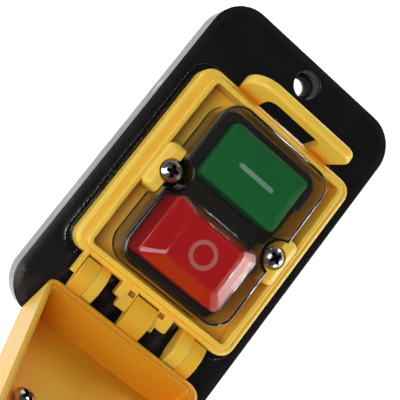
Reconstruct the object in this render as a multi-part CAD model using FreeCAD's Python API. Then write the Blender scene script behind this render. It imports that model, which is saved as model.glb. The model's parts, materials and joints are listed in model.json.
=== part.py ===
import FreeCAD, Part
import math
import os

os.makedirs("parts", exist_ok=True)

V = FreeCAD.Vector

# Frame: mounting plane at Z 0, front towards +Z, green end towards +Y, millimetres.
BASE_WIDTH = 60.0
BASE_LENGTH = 96.4
BASE_CORNER = 9.5
BASE_DEPTH = 9.6
BASE_WALL = 2.4
BASE_TOP = 3.0
BASE_BORDER = 2.2
BASE_FALL = 0.4
HOLE_Y = 42.0
HOLE_R = 2.6
HOLE_SINK_R = 3.7
HOLE_SINK_DEPTH = 4.5
HOLE_LEAD = 0.2
HOLE_BOSS_R = 5.7
SPOT_Y = 16.4
SPOT_Z = 4.6
SPOT_R = 2.7
SPOT_DEPTH = 0.5
SPOT_HOLE_R = 0.9

FACE = BASE_DEPTH
SCREW_X = 17.0
SCREW_Y = -0.6
GAP = 0.3

# Clear boot.
FLANGE_X = 27.0
FLANGE_Y = (-30.2, 29.2)
FLANGE_CORNER = 5.5
FLANGE_T = 1.4
FLANGE_EDGE = 0.5
DOME_X = 16.8
DOME_Y = (-24.3, 23.0)
DOME_CORNER = 5.5
DOME_TOP = FACE + 15.9
DOME_EDGE = 0.95
BOOT_T = 0.7
NOTCH_R = 4.4
TENT_BASE_X = 12.7
TENT_BASE_Y = (-21.3, -3.2)
TENT_TOP_X = 8.1
TENT_TOP_Y = (-17.9, -5.5)
TENT_TOP = FACE + 19.9
TENT_CORNER = (2.4, 1.6)

# Yellow frame.
FRAME_X = 25.2
FRAME_Y = (-28.2, 27.5)
FRAME_CORNER = 4.0
FRAME_LOW = FACE + FLANGE_T
FRAME_RIM = FACE + 7.0
FRAME_FLOOR = FACE + 3.5
FRAME_EDGE = 1.2
RIDGE_X = 22.55
RIDGE_Y = (-26.85, 25.7)
RIDGE_CORNER = 2.6
RIDGE_T = 1.5
RIDGE_TOP = FACE + 9.6
RIDGE_EDGE = 0.45
OPEN_X = 16.95
OPEN_Y = (-24.45, 23.15)
OPEN_CORNER = 5.65
LUG_X = (OPEN_X, 21.5)
LUG_Y = (-7.0, 5.8)
LUG_TOP = FACE + 12.4
LUG_EDGE = 1.8
LUG_SHOULDER = 2.75
SEAT_Z = FACE + 11.0
SEAT_R = 3.1
SEAT_BOSS_R = 2.6
SCREW_HOLE_R = 1.65

# Bail at the green end, leaning outward.
BAIL_LEAN = 10.2
BAIL_FRONT_Y = 26.5
BAIL_T = 2.9
BAIL_LOW = 1.0
BAIL_OVERCUT = 1.0
BAIL_HIGH = 17.4
BAIL_ROOT_X = 14.3
BAIL_TIP_X = 17.8
BAIL_CORNER = (7.0, 3.6)
BAIL_EDGE = 0.9
BAIL_WINDOW_X = 8.7
BAIL_WINDOW_TOP = 13.4
BAIL_WINDOW_CORNER = 2.6

# Hinge at the red end.
PIVOT_Y = -31.8
PIVOT_Z = FACE + 6.1
PIN_R = 0.7
PIN_RUN = 0.06
END_EAR_X = (-20.3, -19.15)
END_EAR_Y = -1.9
END_EAR_LOW = -1.8
EARS_X = ((-14.65, -11.5), (11.5, 15.25))
ARMS_X = ((-18.9, -14.75), (-3.3, 3.3), (15.35, 19.3))
EAR_ROUND = 0.9
EAR_R = 2.1
HUBS_X = ((-6.6, -3.45), (3.45, 4.9))
TONGUES_X = ((-8.4, -3.45), (3.45, 8.0))
TONGUES_Y = (0.0, -0.35)
TONGUE_CORNER = 0.7
CATCHES_X = ((-5.6, -3.75), (3.75, 5.4))
CATCHES_Y = ((1.85, 3.2), (2.2, 3.5))
CATCH_DEPTH = 2.2
PIN_BLIND = 0.6
ARM_HUB_R = 2.4
ARM_CROWN = ((3.3, 0.8), (-1.6, 2.8), (-5.7, 1.45))
ARM_UNDER = ((-8.2, 0.0), (-6.2, -0.5), (-3.4, -0.9), (-1.5, -1.8))
EAR_CROWN = ((4.4, -0.6), (-1.6, 2.8), (-5.1, 1.845))
EAR_UNDER = ((-5.35, 1.2), (-6.4, 0.3), (-5.5, -1.6), (-2.4, -3.0), (4.4, -3.6))

# Flap, built shut and then swung to its open stop.
FLAP_OPEN_DEG = 124.7
FLAP_X = 23.5
FLAP_Y = (-27.2, 26.8)
FLAP_RIM = FACE + 9.8
FLAP_INNER_DEPTH = 10.5
FLAP_WALL = 1.7
FLAP_FLOOR_T = 1.7
FLAP_CORNER = 3.2
FLAP_EDGE = 1.5
FLAP_LIP = 0.8
FLAP_LIP_T = 0.9
PAD_SCREW_X = 14.8
PAD_Y = 2.2
PAD_R = 19.5
PAD_T = 4.6
PAD_EDGE = 1.8
PAD_BOSS_R = 3.0
PAD_BOSS_H = 0.3
PAD_SCREW_LENGTH = 5.4

# Screws.
HEAD_R = 2.75
HEAD_H = 2.2
HEAD_BEVEL = 0.9
SHANK_R = 1.4
THREAD_CLEAR = 0.03
BEZEL_SCREW_LENGTH = 20.0

# Switch body behind the box.
NOSE_X = 18.6
NOSE_Y = (-24.6, 23.4)
NOSE_CORNER = 4.0
SHOULDER_X = 22.5
SHOULDER_Y = (-28.2, 27.0)
SHOULDER_Z = (3.6, BASE_DEPTH - BASE_TOP - 0.05)
BODY_X = 19.6
BODY_Y = (-25.4, 24.2)
BODY_LOW = -24.0
BODY_CORNER = 2.5
CAVITY_X = 17.4
CAVITY_Y = (-23.2, 22.0)
CAVITY_CORNER = 1.5
DECK_Z = (2.6, 4.6)
WELL_X = 13.4
WELL_Y = (-21.6, 20.3)
STEP_X = 14.4
STEP_Y = (-22.2, 20.9)
STEP_Z = 7.4
STEP_RUN = 0.1
BODY_BOSS_R = 3.2
BODY_BOSS_LOW = -4.0
REAR_T = 2.6
REAR_SCREWS = ((-9.8, 20.9), (9.8, 20.9), (-15.5, -21.3), (15.5, -21.3))
REAR_POST_R = 2.3
REAR_SCREW_LENGTH = 9.0
REAR_POST_TOP = -12.0

# Black face round the keys.
COVER_X = 15.3
COVER_Y = (-22.9, 21.6)
COVER_CORNER = 4.2
COVER_T = 2.0
COVER_NOTCH_R = NOTCH_R + BOOT_T + 0.4
COVER_BOSS_R = 3.4
SURROUND_Y = (3.0, 13.5)
SURROUND_END_R = 1.45
SURROUND_Z = FACE + 10.5
MIDDLE_BAR_X = 10.8
MIDDLE_BAR_Y = (-2.7, 2.5)
MIDDLE_BAR_Z = FACE + 8.6
LOW_BAR_X = 12.6
LOW_BAR_Y = (-22.6, -21.3)
LOW_BAR_Z = FACE + 5.0

# Keys.
KEY_TRAVEL = 4.0
KEY_LOW = 11.0
KEY_GAP = 0.35
KEY_CORNER = 1.2
STEM_R = 3.5
STEM_RUN = 0.06
PEG_R = 2.0
GREEN_X = 12.0
GREEN_Y = (3.3, 19.0)
GREEN_TOP = FACE + 14.8
GREEN_BEVEL = (2.2, 1.0)
BAR_HALF = 5.5
BAR_T = 1.2
BAR_END_R = 0.59
SYMBOL_DEPTH = 0.4
RED_X = 12.4
RED_Y = (-20.9, -3.7)
RED_SHOULDER = FACE + 14.5
RED_TOP_X = 7.4
RED_TOP_Y = (-17.2, -6.2)
RED_TOP = FACE + 18.8
RING_Y = -12.2
RING_R = (2.6, 3.65)
STEM_Y = {"green": 11.1, "red": -12.2}
SPRING_R = 4.7
SPRING_WIRE = 0.76
SPRING_POCKET_R = 5.7
SPRING_POCKET_H = 2.5
SPRING_TURNS = 4.0
SPRING_END = SPRING_WIRE / 2 + 0.05

# Contacts and holding magnet.
CARRIER_X = 16.2
CARRIER_Y = (5.0, 17.4)
CARRIER_Z = (-0.5, DECK_Z[0] - 0.05)
ARMATURE_X = 12.4
ARMATURE_Y = (7.0, 15.2)
ARMATURE_T = 3.0
CONTACT_GAP = KEY_TRAVEL + 0.1
BRIDGE_X = (13.3, 16.1)
BRIDGE_Y = (3.8, 18.6)
STRIP_T = 0.8
RIVET_R = 1.4
RIVET_H = 1.2
RIVET_Y = (5.4, 17.0)
YOKE_BASE_T = 4.0
POLE_X = 3.0
SIDE_POLE_X = (9.2, 12.4)
BOBBIN_X = 8.6
BOBBIN_HALF_Y = 6.6
BOBBIN_T = 0.8
BOBBIN_CLEAR = 0.2
BOBBIN_Z = (-19.9, -8.6)
WINDING_INSET = 0.9
BLADE_W = 6.3
BLADE_LOW = -36.0
BLADE_X = (15.4, 16.2)
SLIDER_R = 5.0
SLIDER_LOW = -3.0
STOP_BRIDGE_X = 9.2
STOP_BRIDGE_W = 3.2
STOP_RIVET_X = 7.6
STOP_REST_GAP = 0.05
STOP_STRIP_X = (6.0, 17.3)
STOP_BLADE_X = (16.5, 17.3)
COIL_LEAD_Z = -14.0


def outline(half_x, span_y, corner, z):
    """Closed rounded rectangle, symmetric in X."""
    y0, y1 = span_y
    centres = ((half_x - corner, y1 - corner, 0), (-half_x + corner, y1 - corner, 90),
               (-half_x + corner, y0 + corner, 180), (half_x - corner, y0 + corner, 270))
    edges = []
    previous = None
    first = None
    for cx, cy, start in centres:
        points = []
        for turn in (0, 45, 90):
            angle = math.radians(start + turn)
            points.append(V(cx + corner * math.cos(angle), cy + corner * math.sin(angle), z))
        if previous is None:
            first = points[0]
        else:
            edges.append(Part.makeLine(previous, points[0]))
        edges.append(Part.Arc(*points).toShape())
        previous = points[2]
    edges.append(Part.makeLine(previous, first))
    return Part.Wire(edges)


def prism(half_x, span_y, corner, z0, z1):
    """Upright rounded block, symmetric in X."""
    return Part.Face(outline(half_x, span_y, corner, z0)).extrude(V(0, 0, z1 - z0))


def block(span_x, span_y, span_z):
    """Plain box from its three spans."""
    size = [span[1] - span[0] for span in (span_x, span_y, span_z)]
    return Part.makeBox(*size, V(span_x[0], span_y[0], span_z[0]))


def upright(x, y, radius, z0, z1):
    """Upright cylinder."""
    return Part.makeCylinder(radius, z1 - z0, V(x, y, z0))


def along_x(radius, x0, x1):
    """Cylinder on the hinge axis."""
    return Part.makeCylinder(radius, x1 - x0, V(x0, PIVOT_Y, PIVOT_Z), V(1, 0, 0))


def frustum(base_x, base_y, z0, top_x, top_y, z1, corners):
    """Truncated pyramid with rounded upright edges."""
    low = outline(base_x, base_y, corners[0], z0)
    high = outline(top_x, top_y, corners[1], z1)
    return Part.makeLoft([low, high], True, True)


def ring(half_x, span_y, corner, width, z0, z1):
    """Upright rounded wall of even width."""
    inner_y = (span_y[0] + width, span_y[1] - width)
    outer = prism(half_x, span_y, corner, z0, z1)
    return outer.cut(prism(half_x - width, inner_y, corner - width, z0, z1))


def edges_at(shape, z):
    """Edges lying wholly at one height."""
    found = []
    for edge in shape.Edges:
        box = edge.BoundBox
        if abs(box.ZMin - z) < 1e-4 and abs(box.ZMax - z) < 1e-4:
            found.append(edge)
    return found


def cross_edges(shape, z):
    """Edges at one height that run along Y."""
    return [edge for edge in edges_at(shape, z) if edge.BoundBox.XLength < 1e-3]


def both_sides(span):
    """The same X span on the right and mirrored on the left."""
    return (span, (-span[1], -span[0]))


def pan_screw(x, y, seat, length):
    """Pan-head screw, head up, one solid."""
    head = upright(x, y, HEAD_R, seat, seat + HEAD_H)
    head = head.makeChamfer(HEAD_BEVEL, edges_at(head, seat + HEAD_H))
    return head.fuse(upright(x, y, SHANK_R, seat - length, seat))


def arched(span, crown, under):
    """Side profile with a round crown, drawn about the hinge axis and carried along X."""
    top = [V(span[0], PIVOT_Y + y, PIVOT_Z + z) for y, z in crown]
    low = [V(span[0], PIVOT_Y + y, PIVOT_Z + z) for y, z in under]
    closing = Part.makePolygon([top[-1]] + low + [top[0]])
    profile = Part.Wire([Part.Arc(*top).toShape()] + closing.Edges)
    return Part.Face(profile).extrude(V(span[1] - span[0], 0, 0))


def export(name, solids):
    """Write one named node."""
    Part.makeCompound(solids).exportStep("parts/%s.step" % name)


# Black box: open at the back, two full-depth screw bosses, window for the switch body.
half_length = BASE_LENGTH / 2
half_width = BASE_WIDTH / 2
outer_y = (-half_length, half_length)
panel_y = (-half_length + BASE_BORDER, half_length - BASE_BORDER)
border_low = BASE_DEPTH - BASE_FALL
border_corners = (BASE_CORNER, BASE_CORNER - BASE_BORDER)
base = prism(half_width, outer_y, BASE_CORNER, 0, border_low)
panel_x = half_width - BASE_BORDER
border = frustum(half_width, outer_y, border_low, panel_x, panel_y, BASE_DEPTH, border_corners)
base = base.fuse(border).removeSplitter()
inner_y = half_length - BASE_WALL
inner_x = half_width - BASE_WALL
hollow = prism(inner_x, (-inner_y, inner_y), BASE_CORNER - BASE_WALL, 0, BASE_DEPTH - BASE_TOP)
for side in (-1, 1):
    hollow = hollow.cut(upright(0, side * HOLE_Y, HOLE_BOSS_R, 0, BASE_DEPTH))
base = base.cut(hollow)
for side in (-1, 1):
    base = base.cut(upright(0, side * HOLE_Y, HOLE_R, 0, BASE_DEPTH))
    base = base.cut(upright(0, side * HOLE_Y, HOLE_SINK_R, BASE_DEPTH - HOLE_SINK_DEPTH, BASE_DEPTH))
    lead = Part.makeCone(HOLE_SINK_R, HOLE_SINK_R + HOLE_LEAD, HOLE_LEAD,
                         V(0, side * HOLE_Y, BASE_DEPTH - HOLE_LEAD))
    base = base.cut(lead)
nose_gap_y = (NOSE_Y[0] - GAP, NOSE_Y[1] + GAP)
base = base.cut(prism(NOSE_X + GAP, nose_gap_y, NOSE_CORNER + GAP, 0, BASE_DEPTH))
spot = V(-half_width, SPOT_Y, SPOT_Z)
base = base.cut(Part.makeCylinder(SPOT_R, SPOT_DEPTH, spot, V(1, 0, 0)))
base = base.cut(Part.makeCylinder(SPOT_HOLE_R, BASE_WALL, spot, V(1, 0, 0)))
export("base_box", [base.removeSplitter()])

# Clear boot: flange on the box, dome with a notch at each bezel screw, tent over the red key.
boot = prism(DOME_X, DOME_Y, DOME_CORNER, FACE, DOME_TOP)
boot = boot.makeFillet(DOME_EDGE, edges_at(boot, DOME_TOP))
tent = frustum(TENT_BASE_X, TENT_BASE_Y, DOME_TOP, TENT_TOP_X, TENT_TOP_Y, TENT_TOP, TENT_CORNER)
boot = boot.fuse(tent)
in_y = (DOME_Y[0] + BOOT_T, DOME_Y[1] - BOOT_T)
core = prism(DOME_X - BOOT_T, in_y, DOME_CORNER - BOOT_T, FACE, DOME_TOP - BOOT_T)
core = core.makeFillet(DOME_EDGE - BOOT_T, edges_at(core, DOME_TOP - BOOT_T))
tent_core = frustum(TENT_BASE_X, TENT_BASE_Y, DOME_TOP - BOOT_T, TENT_TOP_X, TENT_TOP_Y, TENT_TOP - BOOT_T,
                    TENT_CORNER)
core = core.fuse(tent_core)
for side in (-1, 1):
    boot = boot.cut(upright(side * SCREW_X, SCREW_Y, NOTCH_R, FACE, TENT_TOP))
    core = core.cut(upright(side * SCREW_X, SCREW_Y, NOTCH_R + BOOT_T, FACE, TENT_TOP))
flange = prism(FLANGE_X, FLANGE_Y, FLANGE_CORNER, FACE, FACE + FLANGE_T)
flange = flange.makeFillet(FLANGE_EDGE, edges_at(flange, FACE + FLANGE_T))
boot = boot.fuse(flange).cut(core)
for side in (-1, 1):
    boot = boot.cut(upright(side * SCREW_X, SCREW_Y, SCREW_HOLE_R, FACE, FACE + FLANGE_T))
export("membrane_boot", [boot.removeSplitter()])

# Yellow frame: outer wall, ridge, sunk floor with the dome window.
frame = prism(FRAME_X, FRAME_Y, FRAME_CORNER, FRAME_LOW, FRAME_RIM)
frame = frame.makeFillet(FRAME_EDGE, edges_at(frame, FRAME_RIM))
ridge = ring(RIDGE_X, RIDGE_Y, RIDGE_CORNER, RIDGE_T, FRAME_FLOOR, RIDGE_TOP)
ridge = ridge.makeFillet(RIDGE_EDGE, edges_at(ridge, RIDGE_TOP))
recess_y = (RIDGE_Y[0] + RIDGE_T, RIDGE_Y[1] - RIDGE_T)
recess = prism(RIDGE_X - RIDGE_T, recess_y, RIDGE_CORNER - RIDGE_T, FRAME_FLOOR, RIDGE_TOP)
frame = frame.fuse(ridge).cut(recess)
frame = frame.cut(prism(OPEN_X, OPEN_Y, OPEN_CORNER, FRAME_LOW, RIDGE_TOP))

# Screw lugs beside the dome, with a counterbored seat.
for span in both_sides(LUG_X):
    lug = block(span, LUG_Y, (FRAME_LOW, LUG_TOP))
    outer_x = max(span, key=abs)
    shoulder = [e for e in edges_at(lug, LUG_TOP) if abs(e.CenterOfMass.x - outer_x) < 1e-3]
    lug = lug.makeFillet(LUG_SHOULDER, shoulder)
    ends = [e for e in lug.Edges if e.BoundBox.YLength < 1e-3 and e.BoundBox.ZMin > FRAME_LOW + 1e-3]
    frame = frame.fuse(lug.makeFillet(LUG_EDGE, ends))
for side in (-1, 1):
    x = side * SCREW_X
    frame = frame.fuse(upright(x, SCREW_Y, SEAT_BOSS_R, FRAME_LOW, SEAT_Z))
    frame = frame.cut(upright(x, SCREW_Y, SEAT_R, SEAT_Z, LUG_TOP))
    frame = frame.cut(upright(x, SCREW_Y, SCREW_HOLE_R, FRAME_LOW, SEAT_Z))

# Bail: a leaning plate with a rounded window, grown out of the end wall.
lean = math.tan(math.radians(BAIL_LEAN))
root = V(BAIL_ROOT_X, 0, BAIL_LOW)
tip = V(BAIL_TIP_X, 0, BAIL_HIGH)
corners = [root, tip, V(-tip.x, 0, tip.z), V(-root.x, 0, root.z)]
bail = Part.Face(Part.makePolygon(corners + [root])).extrude(V(0, BAIL_T, 0))
for corner in (0, 1):
    upper = sorted(cross_edges(bail, BAIL_HIGH), key=lambda edge: edge.CenterOfMass.x)
    bail = bail.makeFillet(BAIL_CORNER[corner], [upper[-corner]])
rim = [e for e in bail.Edges if e.BoundBox.YLength < 1e-3 and e.BoundBox.ZMax > BAIL_LOW + BAIL_EDGE]
bail = bail.makeFillet(BAIL_EDGE, rim)
window_y = (-BAIL_OVERCUT, BAIL_T + BAIL_OVERCUT)
window_z = (BAIL_LOW - BAIL_OVERCUT, BAIL_WINDOW_TOP)
window = block((-BAIL_WINDOW_X, BAIL_WINDOW_X), window_y, window_z)
window = window.makeFillet(BAIL_WINDOW_CORNER, cross_edges(window, BAIL_WINDOW_TOP))
bail = bail.cut(window)
bail.rotate(V(0, 0, BAIL_LOW), V(1, 0, 0), -BAIL_LEAN)
bail.translate(V(0, BAIL_FRONT_Y, FACE))
above_flange = block((-FRAME_X, FRAME_X), (0, half_length), (FRAME_LOW, FACE + BAIL_HIGH + BAIL_T))
frame = frame.fuse(bail.common(above_flange))

# Hinge: rounded ears, tongues with pin hubs beside the middle arm, one end ear.
flap_pivot = V(0, PIVOT_Y, PIVOT_Z)
for span in EARS_X:
    ear = arched(span, EAR_CROWN, EAR_UNDER)
    inner_x = min(span, key=abs)
    crown = [e for e in ear.Edges if e.Curve.TypeId == "Part::GeomCircle"]
    inner = [e for e in crown if abs(e.CenterOfMass.x - inner_x) < 1e-3]
    frame = frame.fuse(ear.makeFillet(EAR_ROUND, inner))
rim_y = FRAME_Y[0] + FRAME_EDGE
ear_z = (PIVOT_Z - EAR_R, FRAME_RIM)
end_ear = block(END_EAR_X, (PIVOT_Y + END_EAR_Y, rim_y), (PIVOT_Z + END_EAR_LOW, FRAME_RIM))
frame = frame.fuse(end_ear)
for span, end in zip(TONGUES_X, TONGUES_Y):
    tongue = block(span, (PIVOT_Y + end, rim_y), ear_z)
    outer_x = max(span, key=abs)
    tip = [e for e in tongue.Edges if e.BoundBox.ZLength > EAR_R and e.BoundBox.YMax < PIVOT_Y + end + 1e-3]
    tip = [e for e in tip if abs(e.CenterOfMass.x - outer_x) < 1e-3]
    frame = frame.fuse(tongue.makeFillet(TONGUE_CORNER, tip))
for span in HUBS_X:
    frame = frame.fuse(along_x(EAR_R, *span).common(block(span, (PIVOT_Y - EAR_R, rim_y), ear_z)))
for span_x, span_y in zip(CATCHES_X, CATCHES_Y):
    catch_y = (PIVOT_Y + span_y[0], PIVOT_Y + span_y[1])
    frame = frame.cut(block(span_x, catch_y, (FRAME_RIM - CATCH_DEPTH, FRAME_RIM)))
pin_spans = ((END_EAR_X[0] + PIN_BLIND, EARS_X[0][1] - PIN_BLIND),
             (HUBS_X[0][0] + PIN_BLIND, HUBS_X[1][1] - PIN_BLIND),
             (EARS_X[1][0] + PIN_BLIND, ARMS_X[2][1]))
pins = [along_x(PIN_R, *span) for span in pin_spans]
for pin in pins:
    frame = frame.cut(pin)
export("bezel_frame", [frame.removeSplitter()])
export("hinge_pins", pins)
bezel_screws = []
for side in (-1, 1):
    bezel_screws.append(pan_screw(side * SCREW_X, SCREW_Y, SEAT_Z, BEZEL_SCREW_LENGTH))
export("bezel_screws", bezel_screws)

# Stop flap: a shallow lid with three hinge arms, built shut.
flap_top = FLAP_RIM + FLAP_INNER_DEPTH + FLAP_FLOOR_T
flap = prism(FLAP_X, FLAP_Y, FLAP_CORNER, FLAP_RIM, flap_top)
flap = flap.makeFillet(FLAP_EDGE, edges_at(flap, flap_top))
in_y = (FLAP_Y[0] + FLAP_WALL, FLAP_Y[1] - FLAP_WALL)
pan = prism(FLAP_X - FLAP_WALL, in_y, FLAP_CORNER - FLAP_WALL, FLAP_RIM, flap_top - FLAP_FLOOR_T)
flap = flap.cut(pan)
lip_y = (FLAP_Y[0] + FLAP_LIP_T, FLAP_Y[1] - FLAP_LIP_T)
lip = prism(FLAP_X - FLAP_LIP_T, lip_y, FLAP_CORNER - FLAP_LIP_T, FLAP_RIM, FLAP_RIM + FLAP_LIP)
flap = flap.cut(lip)
pad_floor = flap_top - FLAP_FLOOR_T
for side in (-1, 1):
    boss = upright(side * PAD_SCREW_X, PAD_Y, PAD_BOSS_R, pad_floor - PAD_BOSS_H, pad_floor)
    flap = flap.fuse(boss)
for side in (-1, 1):
    flap = flap.cut(upright(side * PAD_SCREW_X, PAD_Y, SCREW_HOLE_R, pad_floor - PAD_BOSS_H, flap_top))
flap.rotate(flap_pivot, V(1, 0, 0), FLAP_OPEN_DEG)
for span in ARMS_X:
    flap = flap.fuse(arched(span, ARM_CROWN, ARM_UNDER)).fuse(along_x(ARM_HUB_R, *span))
for span in ARMS_X:
    flap = flap.cut(along_x(PIN_R + PIN_RUN, *span))
export("stop_flap", [flap.removeSplitter()])

# Red stop pad on the flap's outer face, held from inside by two screws.
pad = upright(0, PAD_Y, PAD_R, flap_top, flap_top + PAD_T)
pad = pad.makeFillet(PAD_EDGE, edges_at(pad, flap_top + PAD_T))
pad_seat = pad_floor - PAD_BOSS_H
pad_screws = []
for side in (-1, 1):
    screw_top = pad_seat + PAD_SCREW_LENGTH
    pad = pad.cut(upright(side * PAD_SCREW_X, PAD_Y, SHANK_R + THREAD_CLEAR, flap_top, screw_top + GAP))
    screw = pan_screw(side * PAD_SCREW_X, PAD_Y, -pad_seat, PAD_SCREW_LENGTH)
    screw.rotate(V(0, PAD_Y, 0), V(0, 1, 0), 180)
    pad_screws.append(screw)
for shape in [pad] + pad_screws:
    shape.rotate(flap_pivot, V(1, 0, 0), FLAP_OPEN_DEG)
export("stop_pad", [pad])
export("stop_pad_screws", pad_screws)

# Switch body: nose through the box, shoulder under its top wall, deck that guides both stems.
body = prism(BODY_X, BODY_Y, BODY_CORNER, BODY_LOW, SHOULDER_Z[1])
body = body.fuse(prism(SHOULDER_X, SHOULDER_Y, NOSE_CORNER, *SHOULDER_Z))
body = body.fuse(prism(NOSE_X, NOSE_Y, NOSE_CORNER, SHOULDER_Z[0], FACE))
trim = prism(BODY_X, BODY_Y, BODY_CORNER, SHOULDER_Z[1], FACE)
trim = trim.cut(prism(NOSE_X, NOSE_Y, NOSE_CORNER, SHOULDER_Z[0], FACE))
body = body.cut(trim)
room = prism(CAVITY_X, CAVITY_Y, CAVITY_CORNER, BODY_LOW, DECK_Z[0])
for side in (-1, 1):
    room = room.cut(upright(side * SCREW_X, SCREW_Y, BODY_BOSS_R, BODY_BOSS_LOW, DECK_Z[0]))
for x, y in REAR_SCREWS:
    room = room.cut(upright(x, y, REAR_POST_R, BODY_LOW, REAR_POST_TOP))
body = body.cut(room)
well = prism(WELL_X, WELL_Y, BODY_CORNER, DECK_Z[1], FACE)
step = prism(STEP_X, STEP_Y, BODY_CORNER, STEP_Z, FACE)
well = well.fuse(step)
for side in (-1, 1):
    well = well.cut(upright(side * SCREW_X, SCREW_Y, BODY_BOSS_R, DECK_Z[1], FACE))
body = body.cut(well)
for y in STEM_Y.values():
    body = body.cut(upright(0, y, STEM_R + STEM_RUN, *DECK_Z))
screw_low = SEAT_Z - BEZEL_SCREW_LENGTH
for side in (-1, 1):
    body = body.cut(upright(side * SCREW_X, SCREW_Y, SHANK_R + THREAD_CLEAR, screw_low - GAP, FACE))
for x, y in REAR_SCREWS:
    hole_top = BODY_LOW - REAR_T + REAR_SCREW_LENGTH + GAP
    body = body.cut(upright(x, y, SHANK_R + THREAD_CLEAR, BODY_LOW, hole_top))
export("switch_body", [body.removeSplitter()])

# Rear cover with a slot for each blade, and its four screws.
blade_slots = []
for span in both_sides(BLADE_X):
    for y in RIVET_Y:
        blade_slots.append((span, (y - BLADE_W / 2, y + BLADE_W / 2)))
stop_blade_span = both_sides(STOP_BLADE_X)[1]
stop_blade_y = (STEM_Y["red"] - BLADE_W / 2, STEM_Y["red"] + BLADE_W / 2)
blade_slots.append((stop_blade_span, stop_blade_y))
rear = prism(BODY_X, BODY_Y, BODY_CORNER, BODY_LOW - REAR_T, BODY_LOW)
for span_x, span_y in blade_slots:
    rear = rear.cut(block(span_x, span_y, (BODY_LOW - REAR_T, BODY_LOW)))
rear_screws = []
for x, y in REAR_SCREWS:
    rear = rear.cut(upright(x, y, SCREW_HOLE_R, BODY_LOW - REAR_T, BODY_LOW))
    screw = pan_screw(-x, y, REAR_T - BODY_LOW, REAR_SCREW_LENGTH)
    screw.rotate(V(0, y, 0), V(0, 1, 0), 180)
    rear_screws.append(screw)
export("rear_cover", [rear])
export("rear_cover_screws", rear_screws)

# Black face: seats on the body's step and guides the keys; raised surround at the green end, two low bars.
seat_y = (STEP_Y[0] + STEP_RUN, STEP_Y[1] - STEP_RUN)
face = prism(STEP_X - STEP_RUN, seat_y, BODY_CORNER, STEP_Z, FACE)
for side in (-1, 1):
    face = face.cut(upright(side * SCREW_X, SCREW_Y, COVER_BOSS_R, STEP_Z, FACE))
plate = prism(COVER_X, COVER_Y, COVER_CORNER, FACE, FACE + COVER_T)
for side in (-1, 1):
    plate = plate.cut(upright(side * SCREW_X, SCREW_Y, COVER_NOTCH_R, FACE, FACE + COVER_T))
face = face.fuse(plate)
surround = prism(COVER_X, COVER_Y, COVER_CORNER, FACE, SURROUND_Z)
left_wall = block((-COVER_X, 0), (SURROUND_Y[0], COVER_Y[1]), (FACE, SURROUND_Z))
right_wall = block((0, COVER_X), (SURROUND_Y[1], COVER_Y[1]), (FACE, SURROUND_Z))
surround = surround.common(left_wall.fuse(right_wall))
surround = surround.fuse(upright(COVER_X - SURROUND_END_R, SURROUND_Y[1], SURROUND_END_R, FACE, SURROUND_Z))
face = face.fuse(surround.cut(upright(-SCREW_X, SCREW_Y, COVER_NOTCH_R, FACE, SURROUND_Z)))
middle_bar = (MIDDLE_BAR_X, MIDDLE_BAR_Y, MIDDLE_BAR_Z)
low_bar = (LOW_BAR_X, LOW_BAR_Y, LOW_BAR_Z)
for half_x, span_y, top in (middle_bar, low_bar):
    face = face.fuse(block((-half_x, half_x), span_y, (FACE, top)))
for half_x, span_y in ((GREEN_X, GREEN_Y), (RED_X, RED_Y)):
    wide_y = (span_y[0] - KEY_GAP, span_y[1] + KEY_GAP)
    face = face.cut(prism(half_x + KEY_GAP, wide_y, KEY_CORNER, STEP_Z, SURROUND_Z))
export("switch_face", [face.removeSplitter()])


def key_stem(y, peg_low):
    """Guided round stem with the peg that holds the slider below the deck."""
    stem = upright(0, y, STEM_R, CARRIER_Z[1], KEY_LOW + SPRING_POCKET_H)
    return stem.fuse(upright(0, y, PEG_R, peg_low, CARRIER_Z[1]))


def spring_pocket(y):
    """Round pocket under a key for its spring."""
    return upright(0, y, SPRING_POCKET_R, KEY_LOW, KEY_LOW + SPRING_POCKET_H)


# Green key with a bevelled top and an inlaid bar.
bevel_in, bevel_down = GREEN_BEVEL
green = prism(GREEN_X, GREEN_Y, KEY_CORNER, KEY_LOW, GREEN_TOP - bevel_down)
top_y = (GREEN_Y[0] + bevel_in, GREEN_Y[1] - bevel_in)
green = green.fuse(frustum(GREEN_X, GREEN_Y, GREEN_TOP - bevel_down, GREEN_X - bevel_in, top_y, GREEN_TOP,
                           (KEY_CORNER, KEY_CORNER)))
green = green.cut(spring_pocket(STEM_Y["green"])).fuse(key_stem(STEM_Y["green"], CARRIER_Z[0]))
bar_y = (STEM_Y["green"] - BAR_T / 2, STEM_Y["green"] + BAR_T / 2)
bar = prism(BAR_HALF, bar_y, BAR_END_R, GREEN_TOP - SYMBOL_DEPTH, GREEN_TOP)
export("green_button", [green.cut(bar).removeSplitter()])
export("on_symbol", [bar])

# Red key: a truncated pyramid with an inlaid ring.
red = prism(RED_X, RED_Y, KEY_CORNER, KEY_LOW, RED_SHOULDER)
red = red.fuse(frustum(RED_X, RED_Y, RED_SHOULDER, RED_TOP_X, RED_TOP_Y, RED_TOP, (KEY_CORNER, KEY_CORNER)))
red = red.cut(spring_pocket(STEM_Y["red"])).fuse(key_stem(STEM_Y["red"], SLIDER_LOW))
mark = upright(0, RING_Y, RING_R[1], RED_TOP - SYMBOL_DEPTH, RED_TOP)
mark = mark.cut(upright(0, RING_Y, RING_R[0], RED_TOP - SYMBOL_DEPTH, RED_TOP))
export("red_button", [red.cut(mark).removeSplitter()])
export("off_symbol", [mark])

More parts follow.
